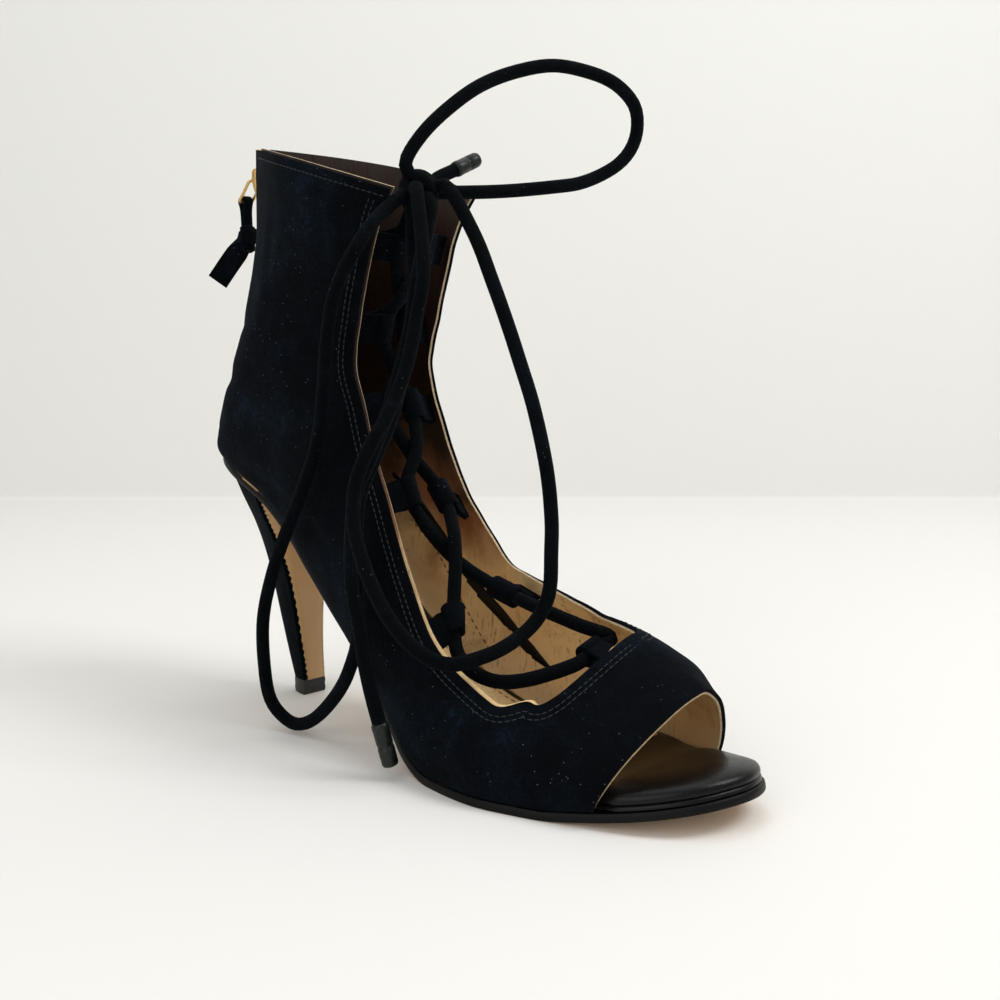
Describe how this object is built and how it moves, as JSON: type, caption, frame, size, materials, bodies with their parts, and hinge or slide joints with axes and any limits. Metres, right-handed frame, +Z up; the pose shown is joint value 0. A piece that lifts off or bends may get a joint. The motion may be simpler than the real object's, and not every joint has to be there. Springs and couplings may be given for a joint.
{
  "type": "open toe lace up high heel shoe",
  "caption": "Suede ankle height high heel with an open toe, an open throat laced through folded tabs, a tied bow and a back zip.",
  "frame": {"origin": "middle of the heel's top lift, on the floor", "axes": "+X to the toe, +Y to the inner side of the foot, +Z up"},
  "size_m": [0.2197, 0.1121, 0.2121],
  "materials": {
    "suede": "dark navy suede",
    "sole_leather": "dark smooth sole leather",
    "wrapped_leather": "black semi gloss leather",
    "lining_leather": "cream lining leather",
    "tan_leather": "tan sole leather",
    "top_lift": "matt black",
    "brass": "polished gold tone",
    "lace": "dark suede cord",
    "aglet": "dark coated end"
  },
  "bodies": {
    "shoe": {"outsole": "sole_leather", "insole_board": "wrapped_leather", "sock_lining": "lining_leather", "upper": "suede", "heel_block": "suede", "heel_breast_cover": "tan_leather", "heel_top_lift": "top_lift", "zip_chain": "brass", "zip_slider": "brass", "lace_tab_front": "suede", "lace_tab_lateral_1": "suede", "lace_tab_lateral_2": "suede", "lace_tab_lateral_3": "suede", "lace_tab_lateral_4": "suede", "lace_tab_lateral_5": "suede", "lace_tab_medial_1": "suede", "lace_tab_medial_2": "suede", "lace_tab_medial_3": "suede", "lace_tab_medial_4": "suede", "lace_tab_medial_5": "suede", "lace_crossings": "lace", "lace_knot": "lace", "lace_loop_high": "lace", "lace_loop_side": "lace", "lace_loop_front": "lace", "lace_end_side": "lace", "lace_end_top": "lace", "aglet_side": "aglet", "aglet_top": "aglet"},
    "zip_pull": {"zip_pull_link": "brass", "zip_pull_strip": "suede"}
  },
  "joints": [
    {"name": "zip_pull_swing", "type": "hinge", "parent": "shoe", "child": "zip_pull", "pos_m": [-0.01845, -0.00351, 0.17965], "axis": [0, 1, 0], "range_deg": [-4, 120]}
  ]
}
